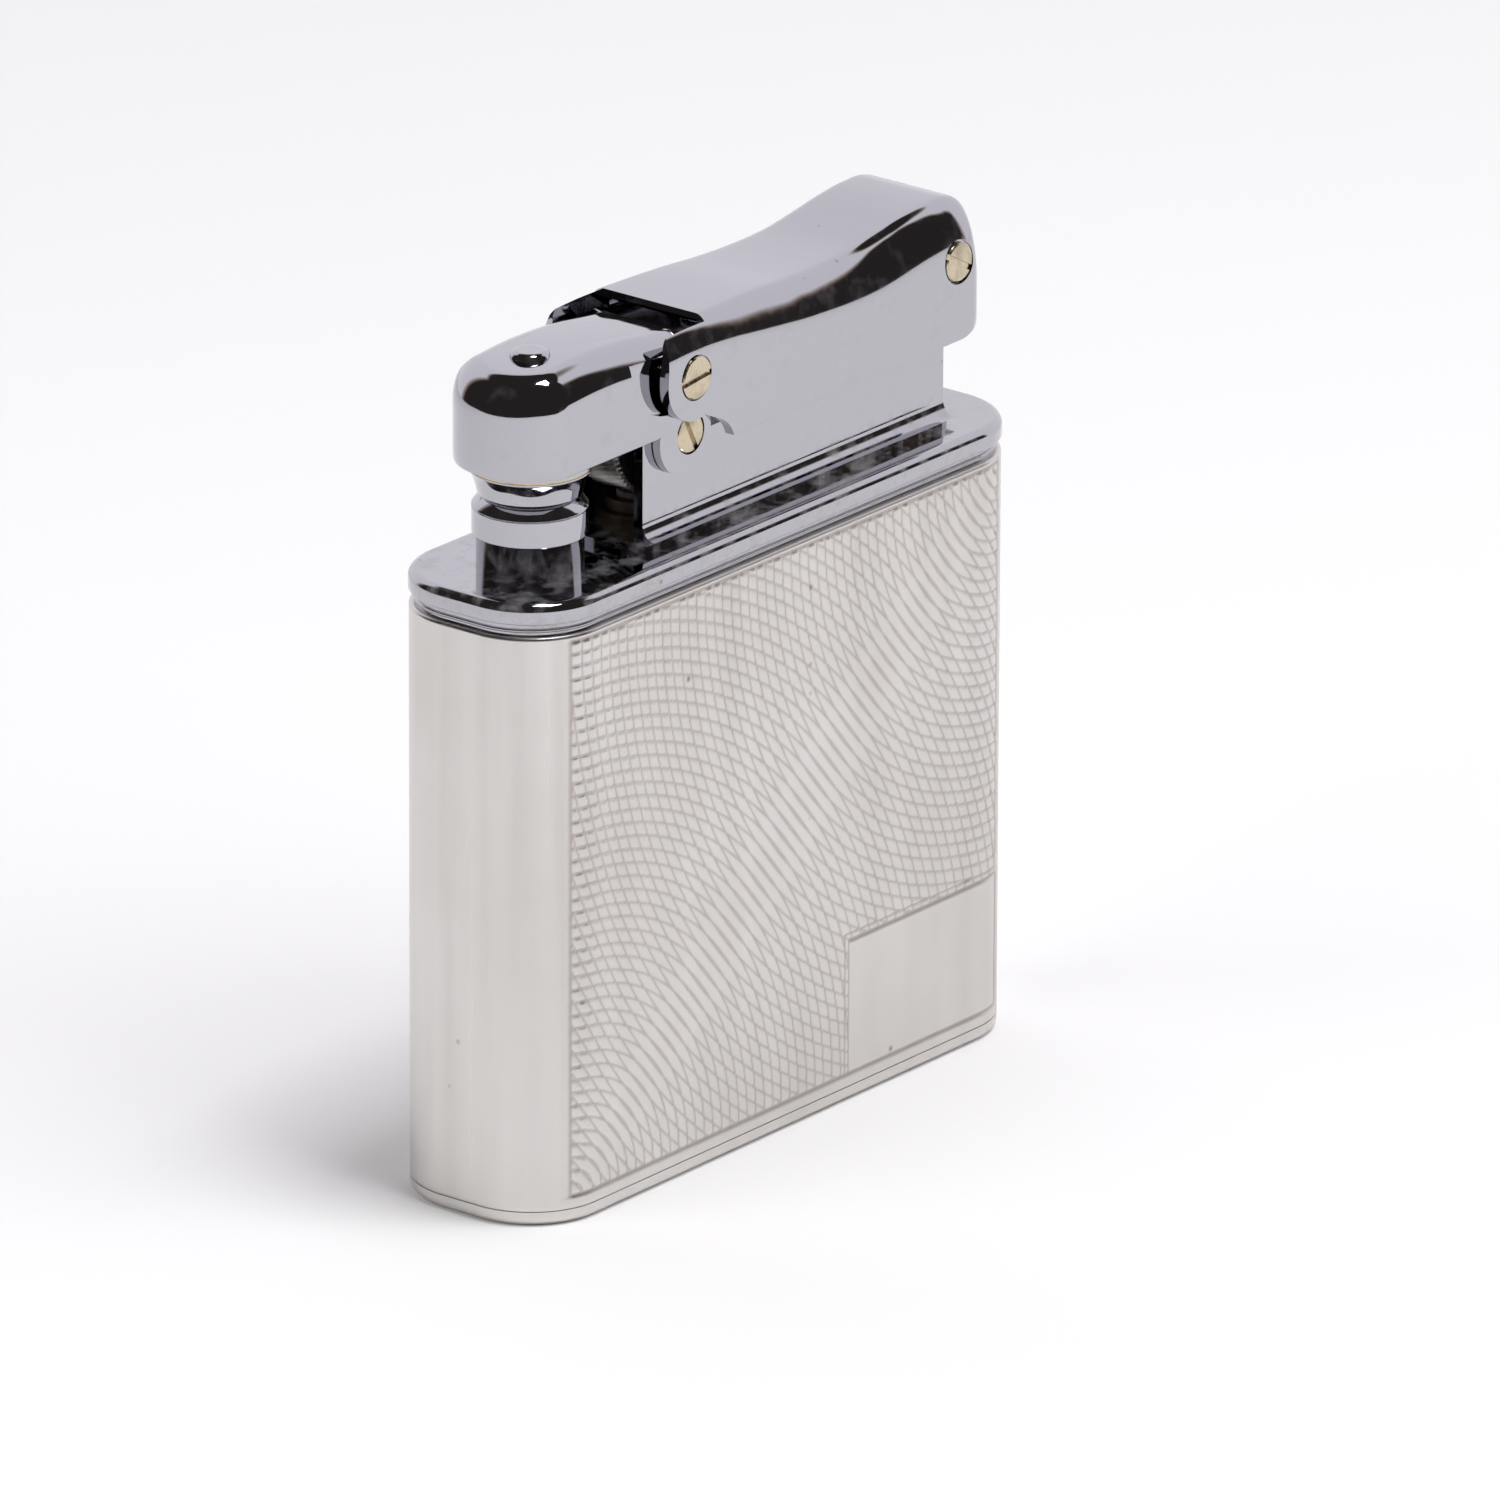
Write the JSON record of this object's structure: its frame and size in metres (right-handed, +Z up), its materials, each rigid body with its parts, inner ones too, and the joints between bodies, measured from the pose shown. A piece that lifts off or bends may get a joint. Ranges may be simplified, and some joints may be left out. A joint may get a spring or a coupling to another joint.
{
  "type": "pocket lighter",
  "caption": "Flat pocket petrol lighter: press the thumb lever and the snuffer arm lifts off the wick and turns the flint wheel.",
  "frame": {"origin": "centre of the flat base, on the surface that the lighter stands on", "axes": "+X towards the thumb end, -X towards the burner, +Y across the thickness, +Z up towards the lever"},
  "size_m": [0.0462, 0.0126, 0.0525],
  "materials": {
    "satin_silver": "satin silver plate, engine turned",
    "chrome": "mirror chromium plate",
    "tank_brass": "plain brass",
    "screw_brass": "satin brass",
    "steel": "nickelled steel",
    "wheel_steel": "hardened steel, dark",
    "spring_steel": "spring wire",
    "ferrocerium": "dull grey flint alloy",
    "wick_cotton": "braided cotton",
    "wadding_cotton": "cotton wool",
    "seal_rubber": "fuel proof rubber",
    "washer_fibre": "red fibre"
  },
  "bodies": {
    "case": {"outer_sleeve": "satin_silver", "base_plate": "satin_silver", "fuel_tank": "tank_brass", "top_plate": "chrome", "burner_tube": "chrome", "wick": "wick_cotton", "wadding": "wadding_cotton", "mechanism_frame": "chrome", "link_pin": "chrome", "wheel_bush": "tank_brass", "flint_tube": "tank_brass", "flint_spring": "spring_steel"},
    "arm": {"snuffer_arm": "chrome", "snuffer_cup": "chrome", "cup_seal": "seal_rubber", "cup_rivet": "chrome", "arm_axle_screw": "screw_brass", "lever_pivot_screws": "screw_brass", "pawl_pin": "steel", "pawl_spring": "spring_steel"},
    "lever": {"thumb_lever": "chrome", "link_screw": "screw_brass"},
    "link": {"link": "steel", "return_spring": "spring_steel"},
    "wheel": {"flint_wheel": "wheel_steel", "ratchet_wheel": "wheel_steel"},
    "pawl": {"drive_pawl": "steel"},
    "flint_feed": {"flint": "ferrocerium", "flint_plunger": "tank_brass"},
    "flint_cap_washer": {"flint_screw_washer": "washer_fibre"},
    "flint_cap": {"flint_screw": "screw_brass"},
    "filler_ring": {"filler_gasket": "seal_rubber"},
    "filler_cap": {"filler_screw": "screw_brass"}
  },
  "joints": [
    {"name": "arm_lift", "type": "hinge", "parent": "case", "child": "arm", "pos_m": [-0.0066, 0, 0.0447], "axis": [0, 1, 0], "range_deg": [0, 60], "stiffness_Nm_per_rad": 0.008, "springref_deg": -40.11},
    {"name": "lever_press", "type": "hinge", "parent": "arm", "child": "lever", "pos_m": [-0.007, 0, 0.0484], "axis": [0, 1, 0], "range_deg": [-55, 0]},
    {"name": "link_swing", "type": "hinge", "parent": "case", "child": "link", "pos_m": [0.01457, 0, 0.043], "axis": [0, 1, 0], "range_deg": [0, 46], "deforming": ["return_spring"]},
    {"name": "wheel_turn", "type": "hinge", "parent": "case", "child": "wheel", "pos_m": [-0.0066, 0, 0.0447], "axis": [0, 1, 0], "range_deg": [0, 60]},
    {"name": "pawl_click", "type": "hinge", "parent": "arm", "child": "pawl", "pos_m": [-0.0117, 0, 0.0463], "axis": [0, 1, 0], "range_deg": [-12, 0], "stiffness_Nm_per_rad": 0.0005, "springref_deg": 28.65, "deforming": ["pawl_spring"]},
    {"name": "flint_push", "type": "slide", "parent": "case", "child": "flint_feed", "axis": [0, 0, 1], "range_m": [-0.0015, 0], "stiffness_N_per_m": 120, "springref_m": 0.004, "deforming": ["flint_spring"]},
    {"name": "flint_cap_travel", "type": "slide", "parent": "case", "child": "flint_cap_washer", "axis": [0, 0, -1], "range_m": [0, 0.002]},
    {"name": "flint_cap_unscrew", "type": "hinge", "parent": "flint_cap_washer", "child": "flint_cap", "pos_m": [-0.0066, 0, 0.0005], "axis": [0, 0, -1], "range_deg": [0, 1440]},
    {"name": "filler_travel", "type": "slide", "parent": "case", "child": "filler_ring", "axis": [0, 0, -1], "range_m": [0, 0.002]},
    {"name": "filler_unscrew", "type": "hinge", "parent": "filler_ring", "child": "filler_cap", "pos_m": [0.012, 0, 0.0005], "axis": [0, 0, -1], "range_deg": [0, 1440]}
  ],
  "couplings": [
    {"joint": "lever_press", "follows": "arm_lift", "ratio": -0.9},
    {"joint": "link_swing", "follows": "arm_lift", "ratio": 0.7607},
    {"joint": "wheel_turn", "follows": "arm_lift", "ratio": 1},
    {"joint": "flint_cap_unscrew", "follows": "flint_cap_travel", "rad_per_m": 12566},
    {"joint": "filler_unscrew", "follows": "filler_travel", "rad_per_m": 12566}
  ]
}
